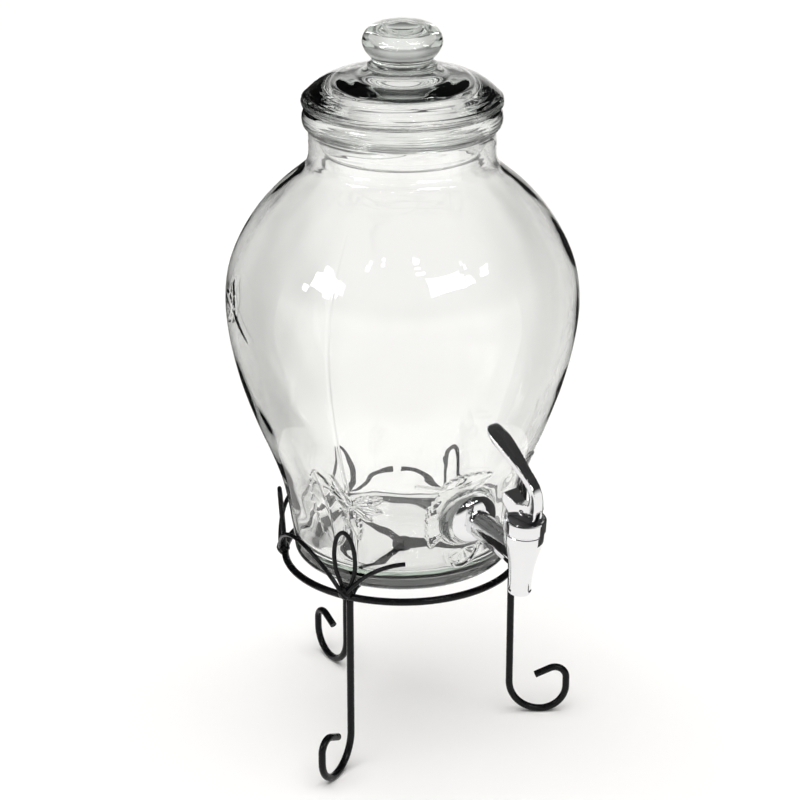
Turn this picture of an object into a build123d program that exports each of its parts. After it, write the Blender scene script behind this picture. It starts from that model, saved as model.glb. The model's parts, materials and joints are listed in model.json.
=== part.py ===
"""Beverage dispenser: a glass ginger jar with a domed glass lid and a self-closing tap, on a wire stand.

Millimetres. The origin is on the jar's axis at floor level, +Z is up and the tap points towards -Y.
"""

import math
import os

from build123d import *

os.makedirs("parts", exist_ok=True)

# Heights of the main levels
BASE_Z = 134.0
RIM_Z = 312.0
TAP_Z = 53.0

# Stand wires
LEG_R = 2.5
RING_R = 2.5
DECO_R = 1.5
LEG_CENTRE = 76.0
RING_CENTRE = 81.0
RING_Z = -4.0
LEG_ANGLES = (-150, -30, 90)
DECO_ANGLES = (-150, -30, 30, 90, 150)

# Jar glass
NECK_OUT = 61.0
NECK_IN = 55.5
FLANGE_R = 65.0

# Tap
TAP_TILT = 5.0
FACE_Y = -85.2
TAP_AXIS = -57.5
SHANK_R = 9.0
THREAD_R = 8.0
WATER_R = 5.0
OUTLET_R = 5.2
BOSS_DEPTH = 11.5
STEM_R = 2.5
PIN_R = 1.25
PIN_Z = 33.8
DISC_TOP = 27.7
CAM_RATE = 4.3
CAM_REST = 6.0
LEVER_MAX = 50.0
LEVER_TURN = 8.0
RUN_GAP = 0.05


def save(shape, name):
    """Writes one node as a STEP file."""
    export_step(shape, f"parts/{name}.step")


def raised(shape):
    """Moves a shape from the jar's own level up to its place on the stand."""
    return Pos(0, 0, BASE_Z) * shape


def turned(edges):
    """Revolves a closed chain of edges, drawn as radius and height, about the Z axis."""
    return revolve(make_face(Plane.XZ * edges), Axis.Z)


def wire_along(path, radius):
    """Sweeps a round wire along a path."""
    section = Plane(origin=path @ 0, z_dir=path % 0) * Circle(radius)
    return sweep(section, path)


# ---------------------------------------------------------------- jar
OUTER_LOW = [
    (74.3, 8.0),
    (75.3, 18.0),
    (77.4, 32.0),
    (83.6, 60.0),
    (97.4, 95.0),
    (109.2, 130.0),
    (115.8, 160.0),
    (117.5, 184.0),
]
OUTER_HIGH = [
    (117.5, 184.0),
    (114.6, 205.0),
    (106.4, 225.0),
    (94.9, 243.0),
    (81.3, 258.0),
    (69.5, 268.0),
    (62.5, 275.5),
    (NECK_OUT, 284.0),
]
INNER_HIGH = [
    (NECK_IN, 284.0),
    (57.4, 276.5),
    (64.6, 267.0),
    (77.2, 255.5),
    (90.5, 240.5),
    (101.4, 223.0),
    (109.3, 203.5),
    (112.1, 184.0),
]
INNER_LOW = [
    (112.1, 184.0),
    (110.5, 161.0),
    (104.2, 132.0),
    (92.6, 98.0),
    (78.6, 63.0),
    (72.3, 36.0),
    (70.3, 20.5),
]

foot = Polyline(
    (0, 11.0),
    (0, 4.0),
    (54.0, 4.0),
    (60.0, 0.6),
    (62.0, 0.0),
    (69.5, 0.0),
    (72.6, 1.2),
    (74.2, 4.0),
    (74.3, 8.0),
)
side = Spline(OUTER_LOW, tangents=((0, 1), (0, 1)))
side += Spline(OUTER_HIGH, tangents=((0, 1), (0, 1)))
lip = Polyline(
    (NECK_OUT, 284.0),
    (NECK_OUT, 297.5),
    (62.4, 299.4),
    (64.2, 301.4),
    (FLANGE_R, 304.0),
    (FLANGE_R, 307.5),
    (64.2, 310.2),
    (62.2, RIM_Z),
    (57.4, RIM_Z),
    (56.0, 311.2),
    (NECK_IN, 309.6),
    (NECK_IN, 284.0),
)
inside = Spline(INNER_HIGH, tangents=((0, -1), (0, -1)))
inside += Spline(INNER_LOW, tangents=((0, -1), (-0.1, -1)))
inside += ThreePointArc(INNER_LOW[-1], (67.9, 14.7), (61.6, 12.0))
floor = Line((61.6, 12.0), (0, 11.0))
jar = turned(foot + side + lip + inside + floor)

TAP_PLACE = Pos(0, FACE_Y, TAP_Z) * Rot(TAP_TILT, 0, 0)
ALONG = Rot(-90, 0, 0)


def disc(radius, y0, y1, inner=0.0):
    """A round piece on the shank's axis, from y0 to y1."""
    solid = Pos(0, (y0 + y1) / 2, 0) * ALONG * Cylinder(radius, y1 - y0)
    if inner:
        solid -= Pos(0, (y0 + y1) / 2, 0) * ALONG * Cylinder(inner, y1 - y0 + 1)
    return solid


boss = disc(18.5, 0, BOSS_DEPTH)
outer_spot = disc(18.6, -12, 0)
inner_spot = disc(15.5, BOSS_DEPTH, BOSS_DEPTH + 8)
hole = disc(9.2, -1, BOSS_DEPTH + 1)
jar += TAP_PLACE * boss
jar -= TAP_PLACE * outer_spot
jar -= TAP_PLACE * inner_spot
jar -= TAP_PLACE * hole
save(raised(jar), "glass_jar")

# ---------------------------------------------------------------- lid and its seal
lid_outer = Spline(
    (63.6, 320.2),
    (59.4, 324.1),
    (54.2, 328.0),
    (46.2, 331.9),
    (35.0, 335.2),
    (24.5, 337.3),
)
lid_base = Polyline(
    (0, 323.4),
    (0, 368.4),
)
knob = Spline(
    (0, 368.4),
    (9.0, 367.9),
    (17.5, 366.0),
    (23.6, 361.8),
    (26.1, 355.6),
    (24.4, 349.6),
    (20.8, 345.2),
    (19.6, 342.2),
    tangents=((1, 0), (-0.15, -1)),
)
collar = Polyline(
    (19.6, 342.2),
    (22.2, 341.2),
    (22.6, 339.6),
    (22.0, 338.2),
    (24.5, 337.3),
)
rim = Polyline(
    (63.6, 320.2),
    (65.1, 318.4),
    (65.4, 316.6),
    (65.0, 314.6),
    (63.4, 313.2),
    (53.0, 313.2),
    (52.6, 300.0),
    (50.6, 284.0),
    (49.6, 282.8),
    (48.2, 282.8),
    (47.2, 284.0),
    (47.6, 300.0),
    (47.0, 314.0),
)
hollow = Spline(
    (47.0, 314.0),
    (46.2, 318.6),
    (43.4, 321.4),
    (34.0, 322.6),
    (18.0, 323.2),
    (0, 323.4),
    tangents=((-0.1, 1), (-1, 0)),
)
lid = turned(lid_base + knob + collar + lid_outer + rim + hollow)
save(raised(lid), "glass_lid")

seal_ring = Polyline(
    (53.0, 313.2),
    (62.0, 313.2),
    (62.3, 312.6),
    (62.0, RIM_Z),
    (54.6, RIM_Z),
    (54.2, 309.0),
    (55.2, 308.0),
    (54.2, 306.6),
    (54.2, 304.6),
    (55.2, 303.6),
    (54.2, 302.2),
    (53.6, 300.2),
    (52.6, 300.2),
    (53.0, 313.2),
)
seal = turned(seal_ring) - lid
save(raised(seal), "lid_seal")

# ---------------------------------------------------------------- stand
ring = Pos(0, 0, RING_Z) * Torus(RING_CENTRE, RING_R)
save(raised(ring), "support_ring")


def point_on(cx, cz, radius, degrees):
    """A point of a circle in the leg's own plane."""
    a = math.radians(degrees)
    return (cx + radius * math.cos(a), cz + radius * math.sin(a))


def arc_piece(cx, cz, radius, start, end):
    """A circular arc between two angles, in the leg's own plane."""
    middle = (start + end) / 2
    return ThreePointArc(
        point_on(cx, cz, radius, start),
        point_on(cx, cz, radius, middle),
        point_on(cx, cz, radius, end),
    )


ARM_Z = -LEG_R
BEND = 10.0
SCROLL_Z = -109.0
curl_end = point_on(108.3, SCROLL_Z + 2.0, 8.2, 115)
tail = math.radians(25)
leg_path = Line((1.8, ARM_Z), (LEG_CENTRE - BEND, ARM_Z))
leg_path += arc_piece(LEG_CENTRE - BEND, ARM_Z - BEND, BEND, 90, 0)
leg_path += Line((LEG_CENTRE, ARM_Z - BEND), (LEG_CENTRE, SCROLL_Z))
leg_path += arc_piece(LEG_CENTRE + 22.5, SCROLL_Z, 22.5, 180, 270)
leg_path += arc_piece(LEG_CENTRE + 22.5, SCROLL_Z - 4.5, 18.0, -90, 0)
leg_path += Line((116.5, SCROLL_Z - 4.5), (116.5, SCROLL_Z + 2.0))
leg_path += arc_piece(108.3, SCROLL_Z + 2.0, 8.2, 0, 115)
leg_path += Line(
    curl_end,
    (curl_end[0] - 11.5 * math.cos(tail), curl_end[1] - 11.5 * math.sin(tail)),
)
leg_path = Plane.XZ * leg_path
leg = sweep(Plane(origin=(1.8, 0, ARM_Z), z_dir=(1, 0, 0)) * Circle(LEG_R), leg_path)
legs = [Rot(0, 0, angle) * leg for angle in LEG_ANGLES]
for number, piece in enumerate(legs, start=1):
    save(raised(piece), f"leg_{number}")

hub = scale(Sphere(1.0), by=(7.0, 7.0, 3.0))
hub = Pos(0, 0, ARM_Z) * hub
for piece in legs:
    hub -= piece
save(raised(hub), "centre_weld")


def on_drum(degrees, radius, height):
    """A point at an angle from the X axis, a distance from the jar's axis and a height."""
    a = math.radians(degrees)
    return (radius * math.cos(a), radius * math.sin(a), height)


LOOP_SHAPE = (
    (1.7, 0.0),
    (3.3, 5.0),
    (6.3, 13.5),
    (7.8, 24.0),
    (6.6, 35.5),
    (3.6, 42.6),
)
LOOP_TOP = 45.0
LOOP_LEAN = 4.0
LEAF_SHAPE = (
    (1.6, -1.0, 84.4),
    (5.5, 4.2, 84.5),
    (12.0, 11.2, 84.6),
    (21.0, 18.2, 84.5),
    (31.0, 23.0, 84.2),
    (42.2, 25.2, 83.9),
)


def loop_wire():
    """The upright teardrop loop, standing on the ring at the X axis and leaning outward."""
    lean = math.radians(LOOP_LEAN)
    plane = Plane(
        origin=(RING_CENTRE, 0, -1.2), x_dir=(0, 1, 0), z_dir=(math.cos(lean), 0, -math.sin(lean))
    )
    right = [plane.from_local_coords(point) for point in LOOP_SHAPE]
    top = [plane.from_local_coords((0, LOOP_TOP))]
    left = [plane.from_local_coords((-side, up)) for side, up in reversed(LOOP_SHAPE)]
    return wire_along(Spline(right + top + left), DECO_R)


def leaf_wire(side):
    """One of the two leaves, following the ring round from the X axis."""
    points = []
    for length, height, radius in LEAF_SHAPE:
        points.append(on_drum(side * math.degrees(length / radius), radius, height))
    return wire_along(Spline(points), DECO_R)


loop = loop_wire()
leaf_left = leaf_wire(1)
leaf_right = leaf_wire(-1)
bead = Pos(82.4, 0, -0.6) * scale(Sphere(1.0), by=(4.4, 5.4, 5.2))
bead -= ring
bead -= leg
bead -= loop
bead -= leaf_left
bead -= leaf_right
bead = max(bead.solids(), key=lambda solid: solid.volume)
for number, angle in enumerate(DECO_ANGLES, start=1):
    place = Rot(0, 0, angle)
    save(raised(place * loop), f"loop_{number}")
    save(raised(place * leaf_left), f"leaf_{number}_left")
    save(raised(place * leaf_right), f"leaf_{number}_right")
    save(raised(place * bead), f"joint_weld_{number}")

# ---------------------------------------------------------------- tap, built level and then leaned
washer_out = disc(14.5, -1.5, 0, THREAD_R)
washer_out += disc(9.1, 0, 3.5, THREAD_R)

dome = Spline((17.0, -2.6), (15.4, -4.6), (12.6, -6.3), (9.6, -7.2))
dome_edge = Polyline((9.6, -7.2), (THREAD_R, -7.2), (THREAD_R, -1.5), (17.0, -1.5), (17.0, -2.6))
escutcheon = revolve(make_face(dome + dome_edge), Axis.Y)

washer_in = disc(14.0, BOSS_DEPTH, BOSS_DEPTH + 2.5, THREAD_R)
backing = disc(13.0, BOSS_DEPTH + 2.5, BOSS_DEPTH + 3.7, THREAD_R)
nut = extrude(Plane.XZ * RegularPolygon(12.0, 6, major_radius=False), -8.0)
nut_shape = disc(13.4, 0, 8.0)
nut = (nut & nut_shape) - disc(THREAD_R, -1, 9)
nut = Pos(0, BOSS_DEPTH + 3.7, 0) * nut

# Body of revolution about the tap's own upright axis
body_side = Spline(
    (12.9, 14.0),
    (12.4, 11.0),
    (10.8, 4.5),
    (9.2, -2.0),
    (8.0, -9.0),
    (7.4, -15.5),
    (7.3, -22.0),
    tangents=((0, -1), (0, -1)),
)
body_rest = Polyline(
    (7.3, -22.0),
    (7.6, -23.4),
    (7.4, -25.0),
    (0, -25.0),
    (0, 19.4),
    (12.6, 19.4),
    (13.0, 18.8),
    (12.9, 14.0),
)
tap_body = turned(body_side + body_rest)
tap_body = Pos(0, TAP_AXIS, 0) * tap_body
tap_body += disc(SHANK_R, TAP_AXIS, -7.2)
THREAD_END = 26.0
thread = [(0, -7.2), (THREAD_R, -7.2), (THREAD_R, -6.4)]
for step in range(15):
    y = -6.4 + 2.0 * step
    thread += [(THREAD_R - 0.8, y + 0.7), (THREAD_R, y + 1.4), (THREAD_R, y + 2.0)]
thread += [(THREAD_R, THREAD_END - 1.0), (THREAD_R - 1.0, THREAD_END), (0, THREAD_END), (0, -7.2)]
tap_body += revolve(make_face(Polyline(*thread)), Axis.Y)
tap_body -= disc(WATER_R, TAP_AXIS, THREAD_END + 1)


def upright(radius, z0, z1, inner=0.0):
    """A round piece on the tap's upright axis, from z0 to z1."""
    solid = Pos(0, TAP_AXIS, (z0 + z1) / 2) * Cylinder(radius, z1 - z0)
    if inner:
        solid -= Pos(0, TAP_AXIS, (z0 + z1) / 2) * Cylinder(inner, z1 - z0 + 1)
    return solid


SEAT_Z = -6.0
tap_body -= upright(7.0, SEAT_Z, 20)
tap_body -= upright(10.6, 11.5, 20)
tap_body += upright(5.2, SEAT_Z - 1.0, SEAT_Z + 0.7)
tap_body -= upright(4.2, SEAT_Z - 4, SEAT_Z + 2)
tap_body -= upright(OUTLET_R, -26, SEAT_Z - 3)

bonnet_face = Polyline(
    (STEM_R + 0.1, 24.0),
    (6.4, 24.0),
    (6.4, 12.0),
    (10.6 - RUN_GAP, 12.0),
    (10.6 - RUN_GAP, 19.4),
    (12.8, 19.4),
    (12.8, 20.2),
    (13.7, 21.0),
    (13.7, 28.3),
    (13.3, 29.1),
    (12.4, 29.3),
    (11.3, 28.8),
    (11.1, 26.2),
    (STEM_R + 0.1, 26.2),
    (STEM_R + 0.1, 24.0),
)
bonnet = Pos(0, TAP_AXIS, 0) * turned(bonnet_face)

glide = upright(11.0, 26.2, DISC_TOP, STEM_R + 0.1)

stem = upright(STEM_R, -2, PIN_Z - 2)
stem += upright(3.8, -4, -2)
stem += upright(5.6, 1.5, 3.0)
EYE_LENGTH = 10.9
eye = Pos(0, TAP_AXIS, PIN_Z) * Rot(0, 90, 0) * Cylinder(2.5, 3.0)
eye += Pos(0, TAP_AXIS, PIN_Z - EYE_LENGTH / 2) * Box(3.0, 5.0, EYE_LENGTH)
eye &= upright(2.5, PIN_Z - EYE_LENGTH, PIN_Z + 3)
stem -= upright(3.0, PIN_Z - EYE_LENGTH + 0.4, PIN_Z)
stem += eye
stem -= Pos(0, TAP_AXIS, PIN_Z) * Rot(0, 90, 0) * Cylinder(PIN_R + RUN_GAP, 8)

seat_cup = upright(6.3, SEAT_Z + 0.7, 1.5)
seat_cup -= stem
seat_cup = max(seat_cup.solids(), key=lambda solid: solid.volume)

SPRING_LOW = 3.0
SPRING_HIGH = 24.0
SPRING_WIRE = 0.45
TURNS = 6
helix = Helix(
    pitch=(SPRING_HIGH - SPRING_LOW - 2 * SPRING_WIRE - 0.1) / TURNS,
    height=SPRING_HIGH - SPRING_LOW - 2 * SPRING_WIRE - 0.1,
    radius=4.6,
)
coil = sweep(
    Plane(origin=helix @ 0, z_dir=helix % 0) * Circle(SPRING_WIRE),
    helix,
    is_frenet=True,
)
spring = Pos(0, TAP_AXIS, SPRING_LOW + SPRING_WIRE + 0.05) * coil

# Lever, drawn in its own plane with the pin at the origin, the jar on the +Y side
cam = []
for step in range(11):
    turn = math.radians(LEVER_MAX + 4) * step / 10
    drop = CAM_REST + CAM_RATE * turn
    cam.append(
        (
            -CAM_RATE * math.cos(turn) - drop * math.sin(turn),
            CAM_RATE * math.sin(turn) - drop * math.cos(turn),
        )
    )
heel = Polyline(
    (-4.4, 7.6),
    (0.0, 5.8),
    (5.0, 4.4),
    (15.3, 8.8),
    (16.8, 7.6),
    (16.6, 3.0),
    (10.6, -4.1),
    (9.6, -CAM_REST),
    (-CAM_RATE, -CAM_REST),
)
cam_edge = Spline(cam)
front = Spline(cam[-1], (-11.8, 3.0), (-11.4, 11.0), (-8.6, 18.4), (-2.0, 25.0))
top_edge = Spline((-2.0, 25.0), (11.5, 34.6), (24.0, 42.2), (35.2, 47.2))
tip = ThreePointArc((35.2, 47.2), (36.8, 46.3), (36.2, 44.5))
under_edge = Spline((36.2, 44.5), (24.6, 39.2), (13.0, 31.4), (1.0, 21.8), (-4.6, 14.4), (-4.4, 7.6))
lever_side = Plane.YZ * make_face(
    heel + cam_edge + front + top_edge + tip + under_edge
)
lever = extrude(lever_side, 8.0, both=True)
half_plan = [
    (-13.0, 3.9),
    (-2.0, 3.9),
    (4.0, 4.5),
    (14.0, 5.9),
    (24.0, 7.2),
    (31.0, 6.8),
    (35.6, 4.2),
    (37.0, 0.0),
]
plan_left = Spline([(half, y) for y, half in half_plan])
plan_right = Spline([(-half, y) for y, half in half_plan])
plan_back = Line((3.9, -13.0), (-3.9, -13.0))
plan = extrude(make_face(plan_left + plan_right + plan_back), 120, both=True)
lever &= plan
slot = Pos(0, -4.7, -4.3) * Box(3.4, 18.6, 15.4)
lever -= slot
lever -= Rot(0, 90, 0) * Cylinder(PIN_R, 20)
lever_pin = Rot(0, 90, 0) * Cylinder(PIN_R, 7.8)

TURN_PLACE = Pos(0, TAP_AXIS, 0) * Rot(0, 0, LEVER_TURN) * Pos(0, -TAP_AXIS, 0)
LEVER_PLACE = TURN_PLACE * Pos(0, TAP_AXIS, PIN_Z)

FIXED_PIECES = {
    "outer_washer": washer_out,
    "escutcheon": escutcheon,
    "inner_washer": washer_in,
    "backing_washer": backing,
    "shank_nut": nut,
    "tap_body": tap_body,
    "bonnet": bonnet,
    "return_spring": spring,
}
TURNING_PIECES = {
    "glide_disc": glide,
    "stem": stem,
    "seat_cup": seat_cup,
}
for name, piece in FIXED_PIECES.items():
    save(raised(TAP_PLACE * piece), name)
for name, piece in TURNING_PIECES.items():
    save(raised(TAP_PLACE * TURN_PLACE * piece), name)
save(raised(TAP_PLACE * LEVER_PLACE * lever), "lever")
save(raised(TAP_PLACE * LEVER_PLACE * lever_pin), "lever_pin")
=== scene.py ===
"""Looks of the beverage dispenser: glass jar and lid, chromed tap, black wire stand.

Everything is made in the CAD frame. Mesh code works in millimetres, and MM turns a finished mesh into metres.
Heights on the jar and lid count from the jar's own foot, and heights on the tap from its shank's axis.
"""

import json
import math

import bmesh
import bpy
import numpy as np
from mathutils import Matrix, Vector


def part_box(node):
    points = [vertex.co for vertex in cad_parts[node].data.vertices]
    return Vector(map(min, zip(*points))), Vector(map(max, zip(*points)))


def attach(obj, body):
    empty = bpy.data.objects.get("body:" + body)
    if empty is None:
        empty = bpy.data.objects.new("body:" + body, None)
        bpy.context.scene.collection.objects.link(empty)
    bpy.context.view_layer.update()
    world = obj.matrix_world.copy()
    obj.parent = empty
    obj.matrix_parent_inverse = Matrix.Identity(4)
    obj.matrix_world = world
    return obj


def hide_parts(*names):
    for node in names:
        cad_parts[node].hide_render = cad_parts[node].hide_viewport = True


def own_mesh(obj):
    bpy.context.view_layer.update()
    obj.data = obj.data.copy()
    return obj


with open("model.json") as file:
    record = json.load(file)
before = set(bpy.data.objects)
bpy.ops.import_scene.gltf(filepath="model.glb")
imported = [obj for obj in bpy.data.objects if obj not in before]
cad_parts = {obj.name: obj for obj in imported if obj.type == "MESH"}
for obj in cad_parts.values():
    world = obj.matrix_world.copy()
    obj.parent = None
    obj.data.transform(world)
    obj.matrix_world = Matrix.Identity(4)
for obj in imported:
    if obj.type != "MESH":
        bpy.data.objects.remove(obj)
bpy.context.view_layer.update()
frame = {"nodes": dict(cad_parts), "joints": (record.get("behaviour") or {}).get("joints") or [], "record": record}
NODES = frame["nodes"]
MM = 0.001
BASE_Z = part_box("glass_jar")[0].z / MM
TAP_TILT = math.radians(5.0)
FACE_Y = -85.2
TAP_Z = 53.0
PIN_HEIGHT = 33.8
SPRING_ENDS = (3.05, 23.95)


# ------------------------------------------------------------------ materials
def new_material(name):
    """A Principled material with its nodes, links and shader."""
    material = bpy.data.materials.new(name)
    material.use_nodes = True
    tree = material.node_tree
    shader = next(node for node in tree.nodes if node.type == "BSDF_PRINCIPLED")
    return material, tree, shader


def set_sockets(shader, **values):
    """Sets the shader's own sockets by name, with underscores for spaces."""
    for name, value in values.items():
        shader.inputs[name.replace("_", " ")].default_value = value


def noise_node(tree, scale, detail=4.0, rough=0.5):
    """Noise in the object's own coordinates."""
    coords = tree.nodes.new("ShaderNodeTexCoord")
    texture = tree.nodes.new("ShaderNodeTexNoise")
    texture.inputs["Scale"].default_value = scale
    texture.inputs["Detail"].default_value = detail
    texture.inputs["Roughness"].default_value = rough
    tree.links.new(coords.outputs["Object"], texture.inputs["Vector"])
    return texture


def add_bump(tree, shader, height, strength, distance):
    """Bump from a height output, added before any bump that is already there."""
    bump = tree.nodes.new("ShaderNodeBump")
    bump.inputs["Strength"].default_value = strength
    bump.inputs["Distance"].default_value = distance
    tree.links.new(height, bump.inputs["Height"])
    normal = shader.inputs["Normal"]
    if normal.links:
        tree.links.new(normal.links[0].from_socket, bump.inputs["Normal"])
    tree.links.new(bump.outputs["Normal"], normal)


def map_range(tree, value, low, high, from_low=0.35, from_high=0.65):
    """Maps a value to a range."""
    node = tree.nodes.new("ShaderNodeMapRange")
    node.inputs["From Min"].default_value = from_low
    node.inputs["From Max"].default_value = from_high
    node.inputs["To Min"].default_value = low
    node.inputs["To Max"].default_value = high
    tree.links.new(value, node.inputs["Value"])
    return node.outputs["Result"]


def color_mix(tree, factor, first, second):
    """Mixes two colours by a factor output."""
    node = tree.nodes.new("ShaderNodeMix")
    node.data_type = "RGBA"
    node.inputs["A"].default_value = first
    node.inputs["B"].default_value = second
    tree.links.new(factor, node.inputs["Factor"])
    return node.outputs["Result"]


def glass(name, absorption, density, waviness):
    """Pressed clear glass: wavy surface, faint green where it is thick."""
    material, tree, shader = new_material(name)
    set_sockets(shader, Base_Color=(1, 1, 1, 1), Roughness=0.0, IOR=1.5, Transmission_Weight=1.0)
    wave = noise_node(tree, 26.0, 2.0, 0.4)
    add_bump(tree, shader, wave.outputs["Fac"], waviness, 0.004)
    seeds = noise_node(tree, 900.0, 1.0, 0.5)
    tree.links.new(map_range(tree, seeds.outputs["Fac"], 0.0, 0.03, 0.6, 0.8), shader.inputs["Roughness"])
    volume = tree.nodes.new("ShaderNodeVolumeAbsorption")
    volume.inputs["Color"].default_value = absorption
    volume.inputs["Density"].default_value = density
    out = next(node for node in tree.nodes if node.type == "OUTPUT_MATERIAL")
    tree.links.new(volume.outputs["Volume"], out.inputs["Volume"])
    return material


def chrome(name):
    """Bright chrome with faint smears and a slightly uneven cast surface."""
    material, tree, shader = new_material(name)
    set_sockets(shader, Metallic=1.0)
    smear = noise_node(tree, 60.0, 6.0, 0.6)
    tree.links.new(
        color_mix(tree, smear.outputs["Fac"], (0.78, 0.79, 0.80, 1), (0.86, 0.86, 0.87, 1)),
        shader.inputs["Base Color"],
    )
    tree.links.new(map_range(tree, smear.outputs["Fac"], 0.035, 0.11), shader.inputs["Roughness"])
    cast = noise_node(tree, 140.0, 2.0, 0.5)
    add_bump(tree, shader, cast.outputs["Fac"], 0.12, 0.0006)
    return material


def enamel(name):
    """Gloss black dipped enamel over wire: orange peel, small runs and dust."""
    material, tree, shader = new_material(name)
    set_sockets(shader, Metallic=0.0, IOR=1.45, Specular_IOR_Level=0.22)
    dust = noise_node(tree, 420.0, 3.0, 0.7)
    tree.links.new(
        color_mix(
            tree,
            map_range(tree, dust.outputs["Fac"], 0.0, 1.0, 0.62, 0.9),
            (0.0025, 0.0025, 0.003, 1),
            (0.0075, 0.0075, 0.0075, 1),
        ),
        shader.inputs["Base Color"],
    )
    peel = noise_node(tree, 300.0, 3.0, 0.5)
    tree.links.new(map_range(tree, peel.outputs["Fac"], 0.16, 0.3), shader.inputs["Roughness"])
    add_bump(tree, shader, peel.outputs["Fac"], 0.25, 0.0005)
    runs = noise_node(tree, 70.0, 2.0, 0.4)
    add_bump(tree, shader, runs.outputs["Fac"], 0.25, 0.0012)
    return material


def silicone(name, tint, clear, low, high):
    """Soft translucent silicone."""
    material, tree, shader = new_material(name)
    set_sockets(shader, Transmission_Weight=clear, IOR=1.41, Subsurface_Weight=0.25 * (1 - clear))
    shader.inputs["Subsurface Radius"].default_value = (0.003, 0.003, 0.003)
    grain = noise_node(tree, 500.0, 3.0, 0.6)
    dark = tuple(0.92 * c for c in tint[:3]) + (1,)
    tree.links.new(color_mix(tree, grain.outputs["Fac"], dark, tint), shader.inputs["Base Color"])
    tree.links.new(map_range(tree, grain.outputs["Fac"], low, high), shader.inputs["Roughness"])
    add_bump(tree, shader, grain.outputs["Fac"], 0.2, 0.0002)
    return material


def steel(name, shade, low, high):
    """Turned steel with fine rings of polish marks."""
    material, tree, shader = new_material(name)
    set_sockets(shader, Metallic=1.0)
    marks = noise_node(tree, 700.0, 5.0, 0.7)
    pale = (shade, shade, shade * 1.01, 1)
    dark = (shade * 0.85, shade * 0.85, shade * 0.86, 1)
    tree.links.new(color_mix(tree, marks.outputs["Fac"], dark, pale), shader.inputs["Base Color"])
    tree.links.new(map_range(tree, marks.outputs["Fac"], low, high), shader.inputs["Roughness"])
    add_bump(tree, shader, marks.outputs["Fac"], 0.2, 0.0002)
    return material


def plastic(name, tint, low, high):
    """Moulded plastic with a fine spark-eroded texture."""
    material, tree, shader = new_material(name)
    grain = noise_node(tree, 1300.0, 2.0, 0.5)
    dark = tuple(0.85 * c for c in tint[:3]) + (1,)
    tree.links.new(color_mix(tree, grain.outputs["Fac"], dark, tint), shader.inputs["Base Color"])
    tree.links.new(map_range(tree, grain.outputs["Fac"], low, high), shader.inputs["Roughness"])
    add_bump(tree, shader, grain.outputs["Fac"], 0.3, 0.0002)
    return material


JAR_GLASS = glass("jar_glass_look", (0.36, 0.48, 0.38, 1), 9.0, 0.10)
LID_GLASS = glass("lid_glass_look", (0.38, 0.47, 0.40, 1), 7.0, 0.05)
CHROME = chrome("tap_chrome_look")
ENAMEL = enamel("black_wire_look")
CLEAR_SILICONE = silicone("clear_silicone_look", (0.97, 0.98, 0.97, 1), 1.0, 0.05, 0.16)
WASHER_SILICONE = silicone("washer_silicone_look", (0.78, 0.79, 0.79, 1), 0.35, 0.32, 0.5)
STEM_STEEL = steel("stem_steel_look", 0.66, 0.12, 0.24)
PLAIN_STEEL = steel("plain_steel_look", 0.6, 0.2, 0.36)
NUT_PLASTIC = plastic("nut_plastic_look", (0.8, 0.8, 0.78, 1), 0.35, 0.5)
DARK_NYLON = plastic("dark_nylon_look", (0.03, 0.03, 0.032, 1), 0.3, 0.45)
SLOT_LOOKS = {
    "jar_glass": JAR_GLASS,
    "lid_glass": LID_GLASS,
    "clear_silicone": CLEAR_SILICONE,
    "black_wire": ENAMEL,
    "tap_chrome": CHROME,
    "plain_steel": PLAIN_STEEL,
    "stem_steel": STEM_STEEL,
    "washer_silicone": WASHER_SILICONE,
    "nut_plastic": NUT_PLASTIC,
    "dark_nylon": DARK_NYLON,
}
for entry in frame["record"]["subparts"]:
    NODES[entry["node"]].data.materials.clear()
    NODES[entry["node"]].data.materials.append(SLOT_LOOKS[entry["material_slot"]])


# ------------------------------------------------------------------ mesh helpers
def place(name, mesh, material, body, node):
    """Makes a smooth visible piece that rides on a body and stands for a CAD node."""
    mesh.name = name
    mesh.polygons.foreach_set("use_smooth", [True] * len(mesh.polygons))
    mesh.materials.clear()
    mesh.materials.append(material)
    mesh.update()
    obj = bpy.data.objects.new(name, mesh)
    bpy.context.scene.collection.objects.link(obj)
    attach(obj, body)
    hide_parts(node)
    return obj


def mesh_from(verts, faces):
    """A mesh in metres from vertices in millimetres."""
    mesh = bpy.data.meshes.new("piece")
    mesh.from_pydata([(x * MM, y * MM, z * MM) for x, y, z in verts], [], faces)
    mesh.validate()
    return mesh


def rounded(points, steps=6):
    """A smooth curve through points, by centripetal Catmull-Rom, with its first and last points kept."""
    pts = [np.array(p, float) for p in points]
    pts = [2 * pts[0] - pts[1]] + pts + [2 * pts[-1] - pts[-2]]
    out = []
    for i in range(1, len(pts) - 2):
        a, b, c, d = pts[i - 1 : i + 3]
        t0 = 0.0
        t1 = t0 + max(np.linalg.norm(b - a), 1e-9) ** 0.5
        t2 = t1 + max(np.linalg.norm(c - b), 1e-9) ** 0.5
        t3 = t2 + max(np.linalg.norm(d - c), 1e-9) ** 0.5
        for k in range(steps):
            t = t1 + (t2 - t1) * k / steps
            p1 = (t1 - t) / (t1 - t0) * a + (t - t0) / (t1 - t0) * b
            p2 = (t2 - t) / (t2 - t1) * b + (t - t1) / (t2 - t1) * c
            p3 = (t3 - t) / (t3 - t2) * c + (t - t2) / (t3 - t2) * d
            q1 = (t2 - t) / (t2 - t0) * p1 + (t - t0) / (t2 - t0) * p2
            q2 = (t3 - t) / (t3 - t1) * p2 + (t - t1) / (t3 - t1) * p3
            out.append((t2 - t) / (t2 - t1) * q1 + (t - t1) / (t2 - t1) * q2)
    out.append(pts[-2])
    return out


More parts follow.
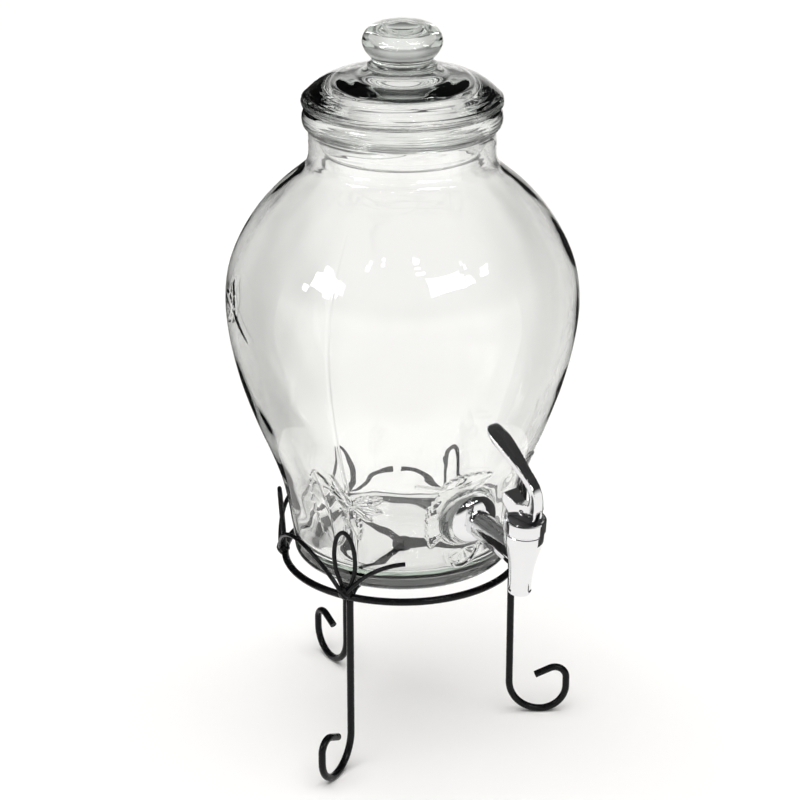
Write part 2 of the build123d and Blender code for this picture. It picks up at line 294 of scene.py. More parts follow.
def lathe(profile, segments):
    """Closed surface of revolution about Z. The profile is (radius, height) from the axis back to the axis."""
    verts = []
    faces = []
    rings = []
    for r, z in profile:
        if r < 1e-6:
            rings.append([len(verts)])
            verts.append((0.0, 0.0, z))
            continue
        rings.append(list(range(len(verts), len(verts) + segments)))
        for k in range(segments):
            a = 2 * math.pi * k / segments
            verts.append((r * math.cos(a), r * math.sin(a), z))
    for low, high in zip(rings, rings[1:]):
        for k in range(segments):
            n = (k + 1) % segments
            if len(low) == 1 and len(high) == 1:
                continue
            if len(low) == 1:
                faces.append((low[0], high[n], high[k]))
            elif len(high) == 1:
                faces.append((low[k], low[n], high[0]))
            else:
                faces.append((low[k], low[n], high[n], high[k]))
    return verts, faces


# ------------------------------------------------------------------ jar
JAR_FOOT = [
    (0, 4.4),
    (20, 4.3),
    (40, 4.2),
    (52.0, 4.0),
    (57.0, 2.6),
    (60.5, 0.7),
    (63.5, 0.0),
    (68.0, 0.0),
    (71.8, 0.8),
    (73.8, 2.9),
    (74.3, 6.0),
]
JAR_SIDE = [
    (74.4, 10.0),
    (75.3, 18.0),
    (77.4, 32.0),
    (80.0, 46.0),
    (83.6, 60.0),
    (89.4, 76.0),
    (97.4, 95.0),
    (103.6, 112.0),
    (109.2, 130.0),
    (115.8, 160.0),
    (117.5, 184.0),
    (114.6, 205.0),
    (106.4, 225.0),
    (94.9, 243.0),
    (81.3, 258.0),
    (69.5, 268.0),
    (63.4, 274.0),
    (61.4, 279.5),
    (61.0, 286.0),
    (61.0, 293.0),
]
JAR_LIP = [
    (61.1, 297.0),
    (62.2, 299.0),
    (64.0, 301.0),
    (65.0, 304.0),
    (65.0, 307.0),
    (64.2, 309.8),
    (62.2, 311.8),
    (59.6, 312.0),
    (57.2, 311.8),
    (55.8, 310.6),
    (55.5, 308.0),
    (55.5, 300.0),
]
JAR_INSIDE = [
    (55.5, 286.0),
    (56.0, 280.5),
    (58.4, 274.6),
    (64.6, 267.0),
    (77.2, 255.5),
    (90.5, 240.5),
    (101.4, 223.0),
    (109.3, 203.5),
    (112.1, 184.0),
    (110.5, 161.0),
    (104.2, 132.0),
    (92.6, 98.0),
    (84.6, 78.0),
    (78.6, 62.4),
    (75.0, 49.0),
    (72.4, 37.0),
    (71.2, 28.0),
]
JAR_BOTTOM = [
    (70.6, 21.5),
    (70.1, 16.8),
    (68.6, 13.7),
    (65.5, 12.2),
    (61.0, 11.9),
    (44.0, 11.6),
    (22.0, 11.2),
    (0, 11.0),
]
SEGMENTS = 720
RELIEF_ROW = 0.75
RELIEF_LOW = (11.0, 104.0)
RELIEF_BELLY = (166.0, 204.0)
BOSS_R = 18.5
BOSS_REACH = 34.0
FILLET_RATE = 1.3
FILLET_POWER = 1.4
HOLE_R = 9.2
HOLE_EDGE = 0.6
BOSS_DEPTH = 11.5
BOSS_RINGS = (20.0, 19.2, 18.6, 18.2, 17.6, 16.0, 13.0, 10.4, 9.8, HOLE_R)
WINDOW_HALF_ANGLE = math.radians(17.5)
WINDOW_HALF_HEIGHT = 24.5
WINDOW_RADIUS = 80.0
WINDOW_SHARES = (0.75, 0.5, 0.25, 0.0)
INNER_RING = 21.5
SKIN_STREAK = 0.18
LIP_STREAK = 0.2
LIP_HEIGHT = 290
LIP_RADIUS = 57
TAP_ANGLE = -math.pi / 2
FRONT_ANGLE = TAP_ANGLE - math.radians(32.5)
BOSS_OUT = np.array([0.0, -math.cos(TAP_TILT), -math.sin(TAP_TILT)])
BOSS_SIDE = np.array([1.0, 0.0, 0.0])
BOSS_UP = np.array([0.0, -math.sin(TAP_TILT), math.cos(TAP_TILT)])
BOSS_FACE = np.array([0.0, FACE_Y, TAP_Z])


def smooth(value):
    """0 below 0, 1 above 1, eased between."""
    t = np.clip(value, 0.0, 1.0)
    return t * t * (3 - 2 * t)


def leaf(u, v, foot, heading, length, width, teeth):
    """A pressed leaf: raised, with toothed edges, a sunk midrib and slanting veins."""
    turn = math.radians(heading)
    du, dv = u - foot[0], v - foot[1]
    along = (du * math.sin(turn) + dv * math.cos(turn)) / length
    across = du * math.cos(turn) - dv * math.sin(turn)
    inside = np.clip(along, 0.0, 1.0)
    tooth = 1.0 - 0.22 * np.mod(inside * teeth, 1.0)
    half = width * np.sin(math.pi * inside**0.8) ** 0.75 * tooth
    edge = np.where((along > 0) & (along < 1), half - np.abs(across), -9.0)
    rim = 0.2 * np.exp(-(((edge - 0.8) / 0.6) ** 2)) * (edge > -0.3)
    body = 0.6 * smooth(edge / 0.9 + 0.3) + rim
    rib = np.exp(-((across / 0.7) ** 2))
    slant = np.mod(inside * teeth * 0.7 - np.abs(across) / 9.0, 1.0)
    veins = np.exp(-(((slant - 0.5) / 0.13) ** 2))
    return body * (1.0 - 0.45 * rib) - 0.07 * veins * smooth(edge / 2.0)


def stroke(u, v, start, end, thick):
    """A raised stem from one point to another."""
    ax, ay = start
    bx, by = end[0] - ax, end[1] - ay
    t = np.clip(((u - ax) * bx + (v - ay) * by) / (bx * bx + by * by), 0.0, 1.0)
    gap = np.hypot(u - ax - t * bx, v - ay - t * by)
    return 0.85 * smooth((thick * (1.0 - 0.5 * t) - gap) / 0.8 + 0.4)


def berry(u, v, centre, radius):
    """A domed round fruit."""
    gap = np.hypot(u - centre[0], v - centre[1]) / radius
    return 1.3 * np.sqrt(np.clip(1.0 - gap**2, 0.0, 1.0))


def half_slice(u, v, centre, radius, segments):
    """Half of a cut citrus slice: a rind, and domed segments between spokes."""
    du, dv = u - centre[0], v - centre[1]
    gap = np.hypot(du, dv)
    turn = np.arctan2(-dv, du)
    lower = smooth(0.8 - dv)
    rind = smooth((radius - gap) / 0.9 + 0.3) * smooth((gap - radius + 3.0) / 0.9)
    share = np.mod(turn / math.pi * segments, 1.0)
    wedge = smooth(np.minimum(share, 1.0 - share) * gap * math.pi / segments / 1.4)
    flesh = wedge * smooth((radius - 3.6 - gap) / 0.9) * smooth((gap - 1.5) / 1.5) * smooth(-dv)
    return lower * rind + 0.85 * flesh


# Clusters of the relief: degrees round from the camera's side, height, and its shapes in millimetres from there
CLUSTERS = [
    (-30, 52, leaf, [((-6, -22), -4, 60, 15, 8), ((12, 14), 66, 20, 4.5, 5), ((12, 13), 98, 18, 4, 5)]),
    (-30, 52, leaf, [((11, 12), 132, 15, 3.6, 4), ((9, 12), 172, 26, 4.6, 6)]),
    (-30, 52, stroke, [((8, 14), (1, 36), 1.1)]),
    (29, 58, leaf, [((-20, 20), 78, 36, 10, 9), ((-14, 20), 190, 46, 9.5, 10)]),
    (29, 58, stroke, [((-18, 22), (-34, 27), 1.0)]),
    (31, 26, half_slice, [((0, 2), 14.5, 5)]),
    (84, 56, leaf, [((2, 8), 30, 40, 10, 9), ((-2, 6), -50, 32, 8, 8)]),
    (84, 56, berry, [((-5, -9), 9.5), ((10, -6), 8.5)]),
    (84, 56, half_slice, [((2, -20), 12.5, 5)]),
    (-69, 186, leaf, [((0, 2), -78, 24, 6, 7), ((0, 2), -28, 20, 5, 6), ((0, 2), -128, 20, 5, 6)]),
    (-69, 186, stroke, [((2, 0), (22, -14), 1.1)]),
]
SEAM_TURNS = (-23.5, 156.5)
SEAM_HEIGHT = 0.2
SEAM_HALF_WIDTH = 0.55


def around_from(angle, turn, height):
    """Millimetres round the jar from a place given by degrees from the camera's side and a height."""
    step = np.mod(angle - FRONT_ANGLE - math.radians(turn) + math.pi, 2 * math.pi) - math.pi
    return step * np.interp(height, *SIDE_TABLE)


def relief(angle, z):
    """Height of the pressed fruit-and-leaf pattern and the mould seams, in millimetres."""
    out = np.zeros_like(z)
    for turn, height, shape, sizes in CLUSTERS:
        for size in sizes:
            out = np.maximum(out, shape(around_from(angle, turn, height), z - height, *size))
    for turn in SEAM_TURNS:
        across = around_from(angle, turn, 100) / SEAM_HALF_WIDTH
        ends = smooth((z - 8) / 8) * smooth((262 - z) / 8)
        out = np.maximum(out, SEAM_HEIGHT * np.exp(-(across**2)) * ends)
    return out


def ripple(angle, z, phase):
    """The slow unevenness of pressed glass."""
    return (
        0.16 * np.sin(2 * angle + 0.031 * z + phase)
        + 0.10 * np.sin(5 * angle - 0.057 * z + 2.1 * phase)
        + 0.05 * np.sin(11 * angle + 0.110 * z + 1.3 * phase)
        + 0.035 * np.sin(23 * angle - 0.045 * z + 0.7 * phase)
    )


def boss_frame(points):
    """How far points stand from the tap hole's axis, and out from the boss's face."""
    step = points - BOSS_FACE
    out = step @ BOSS_OUT
    return np.linalg.norm(step - out[..., None] * BOSS_OUT, axis=-1), out


def skin(angle, z, table, inner):
    """Points of the jar's outer or inner skin at an angle and a height."""
    radius = np.interp(z, *table)
    body = smooth((z - 6) / 10) * smooth((280 - z) / 14)
    if inner:
        radius = radius + body * ripple(angle, z, 4.0)
    else:
        streak = np.sin(1.9 * z + 1.1 * np.sin(2 * angle)) * smooth((z - 268) / 8)
        radius = radius + body * ripple(angle, z, 1.0) + relief(angle, z) + SKIN_STREAK * streak
    points = np.stack([radius * np.cos(angle), radius * np.sin(angle), z], axis=-1)
    gap, out = boss_frame(points)
    near = (gap < BOSS_REACH) & (points[..., 1] < 0)
    side = np.clip((gap - BOSS_R) * FILLET_RATE, 0.0, None) ** FILLET_POWER
    if inner:
        wanted = np.minimum(out, side - BOSS_DEPTH)
    else:
        wanted = np.maximum(out, -side)
    return points + np.where(near, wanted - out, 0.0)[..., None] * BOSS_OUT


def spaced(low, high, step):
    """Heights from low up to just under high."""
    return list(np.arange(low, high - step / 2, step))


def table_of(outline):
    """Heights and radii of an outline, with the heights rising."""
    curve = np.array([(z, r) for r, z in rounded(outline, 10)])
    curve = curve[np.argsort(curve[:, 0])]
    return curve[:, 0], curve[:, 1]


SIDE_TABLE = table_of(JAR_FOOT[-1:] + JAR_SIDE + JAR_LIP[:1])
INSIDE_TABLE = table_of(JAR_LIP[-1:] + JAR_INSIDE + JAR_BOTTOM[:1])


def joined(points, ring, previous, faces):
    """Adds a ring of points inside the one before, and the faces between them."""
    points = np.concatenate([points, ring])
    count = len(ring)
    new = list(range(len(points) - count, len(points)))
    for k in range(count):
        n = (k + 1) % count
        faces.append((previous[k], previous[n], new[n], new[k]))
    return points, new


def make_jar():
    """The jar as one closed skin: foot, side with relief, lip, inside and bottom, with the tap hole through it."""
    angles = np.arange(SEGMENTS) * 2 * math.pi / SEGMENTS
    outer_z = spaced(8.0, RELIEF_LOW[0], 1.5) + spaced(*RELIEF_LOW, RELIEF_ROW)
    outer_z += spaced(RELIEF_LOW[1], RELIEF_BELLY[0], 3.0) + spaced(*RELIEF_BELLY, 1.0)
    outer_z += spaced(RELIEF_BELLY[1], 264.0, 3.0) + spaced(264.0, 293.0, 1.5)
    inner_z = spaced(26.0, 82.0, 1.5) + spaced(82.0, 252.0, 4.0) + spaced(252.0, 292.0, 2.0)
    rows = []
    rows += [("turned", r, z) for r, z in rounded(JAR_FOOT, 4)]
    rows += [("outer", 0, z) for z in outer_z]
    rows += [("turned", r, z) for r, z in rounded(JAR_LIP, 4)]
    rows += [("inner", 0, z) for z in inner_z[::-1]]
    rows += [("turned", r, z) for r, z in rounded(JAR_BOTTOM, 5)]
    points = []
    for kind, r, z in rows:
        if kind == "turned":
            r = max(float(r), 0.0)
            ring = np.stack([r * np.cos(angles), r * np.sin(angles), np.full(SEGMENTS, float(z))], axis=-1)
            if z > LIP_HEIGHT and r > LIP_RADIUS:
                wave = np.sin(2.9 * z + 1.2 * np.sin(3 * angles + 0.5))
                ring[:, :2] *= 1.0 + LIP_STREAK * wave[:, None] / r
        else:
            table = INSIDE_TABLE if kind == "inner" else SIDE_TABLE
            ring = skin(angles, np.full(SEGMENTS, float(z)), table, kind == "inner")
        points.append(ring)
    points = np.concatenate(points)
    first = int(math.ceil((TAP_ANGLE - WINDOW_HALF_ANGLE + 2 * math.pi) / (2 * math.pi) * SEGMENTS))
    last = int(math.floor((TAP_ANGLE + WINDOW_HALF_ANGLE + 2 * math.pi) / (2 * math.pi) * SEGMENTS))
    faces = []
    windows = {}
    for kind in ("outer", "inner"):
        found = [i for i, row in enumerate(rows) if row[0] == kind and abs(row[2] - TAP_Z) < WINDOW_HALF_HEIGHT]
        windows[kind] = (min(found), max(found))
    for i in range(len(rows) - 1):
        for k in range(SEGMENTS):
            n = (k + 1) % SEGMENTS
            if any(lo <= i < hi and first <= k < last for lo, hi in windows.values()):
                continue
            low, high = i * SEGMENTS, (i + 1) * SEGMENTS
            faces.append((low + k, low + n, high + n, high + k))
    mouths = []
    for kind, (low, high) in windows.items():
        loop = [low * SEGMENTS + k for k in range(first, last)]
        loop += [i * SEGMENTS + last for i in range(low, high)]
        loop += [high * SEGMENTS + k for k in range(last, first, -1)]
        loop += [i * SEGMENTS + first for i in range(high, low, -1)]
        corner = np.array([(math.atan2(points[i][1], points[i][0]), points[i][2]) for i in loop])
        corner[:, 0] = (corner[:, 0] - TAP_ANGLE) * WINDOW_RADIUS
        corner[:, 1] -= TAP_Z
        reach = np.linalg.norm(corner, axis=1)
        heading = corner / reach[:, None]
        inner = kind == "inner"
        table = INSIDE_TABLE if inner else SIDE_TABLE
        spots = [heading * (reach * share + INNER_RING * (1 - share))[:, None] for share in WINDOW_SHARES]
        spots += [heading * distance for distance in BOSS_RINGS]
        distances = [None] * len(WINDOW_SHARES) + list(BOSS_RINGS)
        previous = loop
        for spot, distance in zip(spots, distances):
            ring = skin(TAP_ANGLE + spot[:, 0] / WINDOW_RADIUS, TAP_Z + spot[:, 1], table, inner)
            if distance is not None and distance < BOSS_R - 0.1:
                depth = -BOSS_DEPTH if inner else 0.0
                if distance == HOLE_R:
                    depth += HOLE_EDGE if inner else -HOLE_EDGE
                ring = BOSS_FACE + BOSS_OUT * depth + spot[:, :1] * BOSS_SIDE + spot[:, 1:] * BOSS_UP
            points, previous = joined(points, ring, previous, faces)
        mouths.append(previous)
    return points, faces, mouths


def closed_mesh(points, faces, mouths):
    """Bridges the two ends of the hole, welds the poles and drops spare points."""
    work = bmesh.new()
    verts = [work.verts.new(p) for p in points]
    for face in faces:
        work.faces.new([verts[i] for i in face])
    work.edges.ensure_lookup_table()
    edges = []
    for loop in mouths:
        for k in range(len(loop)):
            edges.append(work.edges.get((verts[loop[k]], verts[loop[(k + 1) % len(loop)]])))
    bmesh.ops.bridge_loops(work, edges=edges)
    bmesh.ops.delete(work, geom=[v for v in work.verts if not v.link_faces], context="VERTS")
    poles = [v for v in work.verts if math.hypot(v.co.x, v.co.y) < 1e-4]
    bmesh.ops.remove_doubles(work, verts=poles, dist=1e-3)
    bmesh.ops.recalc_face_normals(work, faces=work.faces)
    return work


def make_jar_mesh():
    """The jar's mesh in metres, at its place on the stand."""
    work = closed_mesh(*make_jar())
    for vert in work.verts:
        vert.co = Vector((vert.co.x, vert.co.y, vert.co.z + BASE_Z)) * MM
    mesh = bpy.data.meshes.new("piece")
    work.to_mesh(mesh)
    work.free()
    return mesh


jar = place("jar", make_jar_mesh(), JAR_GLASS, "jar", "glass_jar")


# ------------------------------------------------------------------ lid
LID_PROFILE_OUT = [
    (0, 368.4),
    (9.0, 367.9),
    (17.5, 366.0),
    (23.6, 361.8),
    (26.1, 355.6),
    (24.4, 349.6),
    (20.8, 345.2),
    (19.7, 342.6),
    (21.2, 341.6),
    (22.5, 340.6),
    (22.7, 339.4),
    (22.4, 338.2),
    (25.0, 337.3),
    (35.0, 335.2),
    (46.2, 331.9),
    (54.2, 328.0),
    (59.4, 324.1),
    (63.0, 320.6),
    (64.9, 318.8),
    (65.4, 316.6),
    (65.0, 314.6),
    (63.6, 313.4),
    (60.0, 313.2),
    (55.0, 313.2),
    (53.2, 312.6),
    (52.8, 309.0),
    (52.6, 300.0),
    (51.6, 290.0),
    (50.6, 284.4),
    (49.6, 283.0),
    (48.6, 282.8),
    (47.6, 283.4),
    (47.2, 285.0),
    (47.6, 300.0),
    (47.0, 314.0),
    (46.2, 318.6),
    (43.4, 321.4),
    (34.0, 322.8),
    (27.0, 323.6),
    (18.0, 326.2),
    (8.0, 327.8),
    (0, 328.0),
]
LID_SEGMENTS = 256
LID_STREAK = 0.2
STREAK_RADIUS = 45.0
STREAK_HEIGHT = 286.0


def streaked(x, y, z):
    """A point of the lid, moved by the fine level streaks of old-style pressed glass."""
    radius = math.hypot(x, y)
    angle = math.atan2(y, x)
    if radius < STREAK_RADIUS or z < STREAK_HEIGHT:
        return x, y, z
    wander = 0.9 * math.sin(2 * angle + 0.4) + 0.5 * math.sin(5 * angle + 1.7)
    wave = math.sin(3.1 * z + wander) + 0.7 * math.sin(5.3 * z - 1.4 * wander + 0.8)
    grow = 1.0 + LID_STREAK * wave * min((radius - STREAK_RADIUS) / 8.0, 1.0) / radius
    return x * grow, y * grow, z


lid_profile = [(max(float(r), 0.0), float(z)) for r, z in rounded(LID_PROFILE_OUT, 5)]
lid_profile[0] = (0.0, lid_profile[0][1])
lid_profile[-1] = (0.0, lid_profile[-1][1])
verts, faces = lathe(lid_profile[::-1], LID_SEGMENTS)
verts = [streaked(x, y, z) for x, y, z in verts]
verts = [(x, y, z + BASE_Z) for x, y, z in verts]
lid = place("lid", mesh_from(verts, faces), LID_GLASS, "lid", "glass_lid")


# ------------------------------------------------------------------ lever, weld beads and return spring
JOINTS = {joint["name"]: joint for joint in frame["joints"]}
PIN = np.array(JOINTS["lever_pull"]["pos_m"]) / MM
PIN_SIDE = np.array(JOINTS["lever_pull"]["axis"])
TAP_UP = np.array(JOINTS["lever_swivel"]["axis"])
PIN_BACK = np.cross(TAP_UP, PIN_SIDE)
PADDLE_START = 16.0
PADDLE_EASE = 12.0
CROWN = 0.034
CROWN_WAY = 0.55 * PIN_BACK - 0.83 * TAP_UP
LUMP = 0.14
COIL_WIRE = 0.45
COIL_RADIUS = 4.6
COIL_TURNS = 7.5
COIL_SIDES = 12
STEPS_PER_TURN = 40
END_THINNING = 0.35
DEAD_SHARE = 0.1
DEAD_PITCH = 0.35


def resurfaced(node, voxel, rounds):
    """A CAD node's shape as an even mesh in millimetres, with its sharp edges worn round."""
    source = NODES[node]
    obj = bpy.data.objects.new(node + "_copy", source.data.copy())
    bpy.context.scene.collection.objects.link(obj)
    remesh = obj.modifiers.new("remesh", "REMESH")
    remesh.mode = "VOXEL"
    remesh.voxel_size = voxel * MM
    ease = obj.modifiers.new("ease", "SMOOTH")
    ease.factor = 0.5
    ease.iterations = rounds
    mesh = bpy.data.meshes.new_from_object(obj.evaluated_get(bpy.context.evaluated_depsgraph_get()))
    bpy.data.objects.remove(obj)
    points = np.empty(len(mesh.vertices) * 3)
    mesh.vertices.foreach_get("co", points)
    return mesh, points.reshape(-1, 3) / MM


def moved(mesh, points):
    """The mesh with its points put at new places, in millimetres."""
    mesh.vertices.foreach_set("co", (points * MM).ravel())
    return mesh


def make_lever():
    """The tap's lever: a polished paddle, crowned across and hollow under, on its forked hub."""
    mesh, points = resurfaced("lever", voxel=0.45, rounds=9)
    step = points - PIN
    across, above = step @ PIN_SIDE, step @ TAP_UP
    crown = CROWN * across**2 * smooth((above - PADDLE_START) / PADDLE_EASE)
    points = points + np.outer(crown, CROWN_WAY)
    place("lever_paddle", moved(mesh, points), CHROME, "lever", "lever")


def make_beads():
    """The lumpy beads where wires were welded."""
    for entry in frame["record"]["subparts"]:
        node = entry["node"]
        if "weld" not in node:
            continue
        mesh, points = resurfaced(node, voxel=0.4, rounds=4)
        x, y, z = points.T
        lump = np.sin(1.9 * x + 0.7 * z) + np.sin(2.3 * y - 1.1 * z + 1.0) + np.sin(1.7 * z + 1.3 * x - 0.9 * y)
        out = points - points.mean(axis=0)
        out /= np.linalg.norm(out, axis=1)[:, None] + 1e-9
        points = points + LUMP * lump[:, None] * out
        place(node + "_bead", moved(mesh, points), ENAMEL, "stand", node)


def climb(share):
    """How far up a coil with closed end turns has climbed, from 0 to 1."""
    dead = DEAD_PITCH * DEAD_SHARE
    if share < DEAD_SHARE:
        return DEAD_PITCH * share
    if share > 1.0 - DEAD_SHARE:
        return 1.0 - DEAD_PITCH * (1.0 - share)
    return dead + (1.0 - 2 * dead) * (share - DEAD_SHARE) / (1.0 - 2 * DEAD_SHARE)


def make_spring():
    """The return spring, with closed end turns."""
    low, high = SPRING_ENDS[0] - PIN_HEIGHT, SPRING_ENDS[1] - PIN_HEIGHT
    steps = int(COIL_TURNS * STEPS_PER_TURN)
    sides = COIL_SIDES
    verts = []
    faces = []
    for k in range(steps + 1):
        heading = 2 * math.pi * COIL_TURNS * k / steps
        height = low + COIL_WIRE + (high - low - 2 * COIL_WIRE) * climb(k / steps)
        out = math.cos(heading) * PIN_SIDE + math.sin(heading) * PIN_BACK
        thick = COIL_WIRE * (END_THINNING if k in (0, steps) else 1.0)
        for j in range(sides):
            turn = 2 * math.pi * j / sides
            reach = COIL_RADIUS + thick * math.cos(turn)
            verts.append(PIN + out * reach + TAP_UP * (height + thick * math.sin(turn)))
    for k in range(steps):
        for j in range(sides):
            n = (j + 1) % sides
            faces.append((k * sides + j, (k + 1) * sides + j, (k + 1) * sides + n, k * sides + n))
    faces.append(tuple(range(sides)))
    faces.append(tuple(range(steps * sides + sides - 1, steps * sides - 1, -1)))
    spring = place("return_coil", mesh_from(verts, faces), PLAIN_STEEL, "jar", "return_spring")
    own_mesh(spring)


make_lever()
make_beads()
make_spring()


# ------------------------------------------------------------------ stage, light and camera, in metres
VIEW_AZIMUTH = math.radians(-32.5)
VIEW_TILT = math.radians(22.2)
VIEW_DISTANCE = 1.656
AIM_HEIGHT = 0.2416
AXIS_OFFSET = 0.0016
LENS = 110.25
LAMP_DISTANCE = 2.4
FLAG_DISTANCE = 0.33
FLAG_HEIGHT = 0.75
FLAG_STEPS = 12
SHADE_VEIL_DISTANCE = 0.28
SHADE_VEIL_HEIGHT = 0.6
SHADE_VEIL_STEPS = 16
FLOOR_HALF = 8.0
LAMP_AIM = Vector((0, 0, 0.25))


def view_direction(turn, height):
    """The unit vector towards a place that stands so many degrees right of the camera, and so high."""
    azimuth = VIEW_AZIMUTH + math.radians(turn)
    tilt = math.radians(height)
    return Vector((math.sin(azimuth) * math.cos(tilt), -math.cos(azimuth) * math.cos(tilt), math.sin(tilt)))


def add_stage():
    """A plain pale floor."""
    mesh = bpy.data.meshes.new("floor")
    half = FLOOR_HALF
    mesh.from_pydata([(-half, -half, 0), (half, -half, 0), (half, half, 0), (-half, half, 0)], [], [(0, 1, 2, 3)])
    material, _, shader = new_material("floor_look")
    set_sockets(shader, Base_Color=(0.9, 0.9, 0.9, 1), Roughness=0.9, Specular_IOR_Level=0.0)
    mesh.materials.append(material)
    floor = bpy.data.objects.new("floor", mesh)
    bpy.context.scene.collection.objects.link(floor)


def add_lamp(name, turn, height, size, power):
    """A soft box, or a far lamp or window, that shows as a highlight on the glass."""
    light = bpy.data.lights.new(name, "AREA")
    light.shape = "RECTANGLE"
    light.size, light.size_y = size
    light.energy = power
    light.color = (1.0, 0.99, 0.975)
    obj = bpy.data.objects.new(name, light)
    bpy.context.scene.collection.objects.link(obj)
    obj.location = LAMP_AIM + view_direction(turn, height) * LAMP_DISTANCE
    obj.rotation_euler = (LAMP_AIM - obj.location).to_track_quat("-Z", "Y").to_euler()
    obj.visible_diffuse = False


def add_overhead():
    """Soft light from above that falls evenly on the floor and isn't seen in reflections."""
    light = bpy.data.lights.new("overhead", "SUN")
    light.energy = 3.45
    light.angle = math.radians(70)
    light.color = (1.0, 0.985, 0.968)
    obj = bpy.data.objects.new("overhead", light)
    bpy.context.scene.collection.objects.link(obj)
    obj.rotation_euler = (math.radians(12), math.radians(-10), 0)
    obj.visible_glossy = False
    obj.visible_transmission = False


def add_card(name, span, distance, height, steps, material):
    """A curved upright card round part of the object, never seen by the camera. Its UV map runs along and up it."""
    start, end = span
    verts = []
    faces = []
    for k in range(steps + 1):
        foot = view_direction(start + (end - start) * k / steps, 0) * distance
        verts += [tuple(foot), tuple(foot + Vector((0, 0, height)))]
    for k in range(steps):
        faces.append((2 * k, 2 * k + 2, 2 * k + 3, 2 * k + 1))
    mesh = bpy.data.meshes.new(name)
    mesh.from_pydata(verts, [], faces)
    layer = mesh.uv_layers.new(name="across")
    for loop in mesh.loops:
        layer.data[loop.index].uv = (loop.vertex_index // 2 / steps, loop.vertex_index % 2)
    mesh.materials.append(material)
    obj = bpy.data.objects.new(name, mesh)
    bpy.context.scene.collection.objects.link(obj)
    obj.visible_camera = False
    obj.visible_diffuse = False
    obj.visible_shadow = False
    return obj


def add_flag(name, span, shade):
    """A dark card that is seen only in reflections, and draws the edges of glass and chrome."""
    material, _, shader = new_material(name + "_look")
    set_sockets(shader, Base_Color=(shade, shade, shade, 1), Roughness=0.9)
    flag = add_card(name, span, FLAG_DISTANCE, FLAG_HEIGHT, FLAG_STEPS, material)
    flag.visible_transmission = False


def add_shade_veil(name, span, low_opacity, high_opacity):
    """A thin grey veil of painted shade behind one flank of the jar, seen through glass and in reflections, where
    it darkens that flank.

    It fades out at both ends.
    """
    material, tree, shader = new_material(name + "_look")
    # Painted shade: a near-black sheet whose opacity darkens the jar's flank seen through it.
    set_sockets(shader, Base_Color=(0.02, 0.024, 0.02, 1), Roughness=1.0, Specular_IOR_Level=0.0)
    across = tree.nodes.new("ShaderNodeUVMap")
    across.uv_map = "across"
    split = tree.nodes.new("ShaderNodeSeparateXYZ")
    tree.links.new(across.outputs["UV"], split.inputs["Vector"])
    ramp = tree.nodes.new("ShaderNodeValToRGB")
    ramp.color_ramp.interpolation = "EASE"
    ramp.color_ramp.elements[0].color = (0, 0, 0, 1)
    ramp.color_ramp.elements[1].color = (0, 0, 0, 1)
    for position in (0.5, 0.62):
        ramp.color_ramp.elements.new(position).color = (1, 1, 1, 1)
    tree.links.new(split.outputs["X"], ramp.inputs["Fac"])
    opacity = tree.nodes.new("ShaderNodeMath")
    opacity.operation = "MULTIPLY"
    tree.links.new(ramp.outputs["Color"], opacity.inputs[0])
    upward = map_range(tree, split.outputs["Y"], low_opacity, high_opacity, 0.2, 0.5)
    tree.links.new(upward, opacity.inputs[1])
    tree.links.new(opacity.outputs["Value"], shader.inputs["Alpha"])
    add_card(name, span, SHADE_VEIL_DISTANCE, SHADE_VEIL_HEIGHT, SHADE_VEIL_STEPS, material)


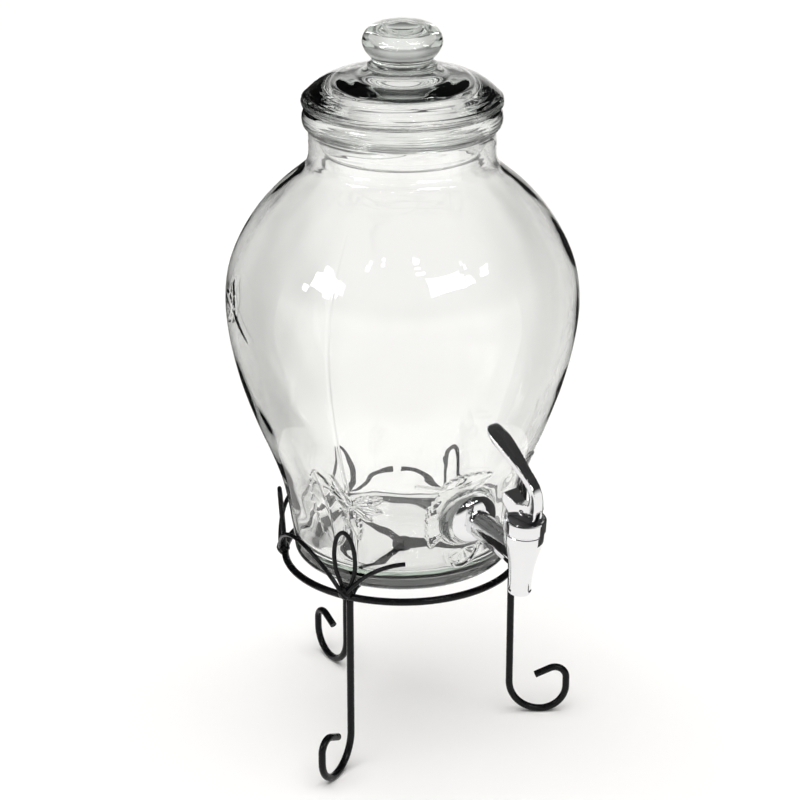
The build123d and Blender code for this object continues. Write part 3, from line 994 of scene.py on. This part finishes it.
def add_world():
    """A studio that is white low down and dark overhead."""
    world = bpy.data.worlds.new("studio")
    bpy.context.scene.world = world
    world.use_nodes = True
    tree = world.node_tree
    background = next(node for node in tree.nodes if node.type == "BACKGROUND")
    coords = tree.nodes.new("ShaderNodeTexCoord")
    split = tree.nodes.new("ShaderNodeSeparateXYZ")
    ramp = tree.nodes.new("ShaderNodeValToRGB")
    tree.links.new(coords.outputs["Generated"], split.inputs["Vector"])
    tree.links.new(split.outputs["Z"], ramp.inputs["Fac"])
    tree.links.new(ramp.outputs["Color"], background.inputs["Color"])
    ramp.color_ramp.elements[0].position = 0.12
    ramp.color_ramp.elements[0].color = (1.0, 0.99, 0.975, 1)
    ramp.color_ramp.elements[1].position = 0.34
    ramp.color_ramp.elements[1].color = (0.04, 0.04, 0.04, 1)
    background.inputs["Strength"].default_value = 1.04


def add_camera():
    """The camera, looking down at the jar from the left of the tap."""
    data = bpy.data.cameras.new("camera")
    data.lens = LENS
    data.sensor_width = 36.0
    data.clip_end = 50.0
    camera = bpy.data.objects.new("camera", data)
    bpy.context.scene.collection.objects.link(camera)
    right = Vector((math.cos(VIEW_AZIMUTH), math.sin(VIEW_AZIMUTH), 0))
    aim = Vector((0, 0, AIM_HEIGHT)) - right * AXIS_OFFSET
    back = view_direction(0, math.degrees(VIEW_TILT))
    camera.location = aim + back * VIEW_DISTANCE
    camera.rotation_euler = (-back).to_track_quat("-Z", "Y").to_euler()
    bpy.context.scene.camera = camera


add_stage()
add_world()
add_overhead()
# Each lamp: degrees right of the camera, degrees up, width and height in metres, power in watts
LAMPS = [
    (-60, 31, (0.36, 0.34), 5.0),
    (-50, 28, (0.42, 0.24), 5.0),
    (-68, 25, (0.20, 0.14), 1.2),
    (33, 36, (0.85, 0.34), 12.0),
    (48, 33, (0.36, 0.10), 1.6),
    (64, 34, (0.26, 0.10), 1.2),
    (-30, 46, (0.09, 0.14), 0.8),
    (-16, 50, (0.09, 0.10), 0.6),
    (13, 51, (0.10, 0.10), 0.7),
    (15, 45, (0.20, 0.06), 0.8),
    (50, 42, (0.07, 0.10), 0.5),
]
for number, lamp in enumerate(LAMPS):
    add_lamp(f"lamp_{number + 1}", *lamp)
add_flag("left_flag", (-74, -165), 0.01)
add_flag("right_flag", (68, 150), 0.04)
# Painted shade on the jar's flanks: stronger low down on the left and high up on the right.
add_shade_veil("left_shade_veil", (-112, -172), 0.55, 0.34)
add_shade_veil("right_shade_veil", (112, 172), 0.14, 0.3)
bpy.context.scene.view_settings.view_transform = "Standard"
jar.visible_shadow = False
lid.visible_shadow = False
add_camera()
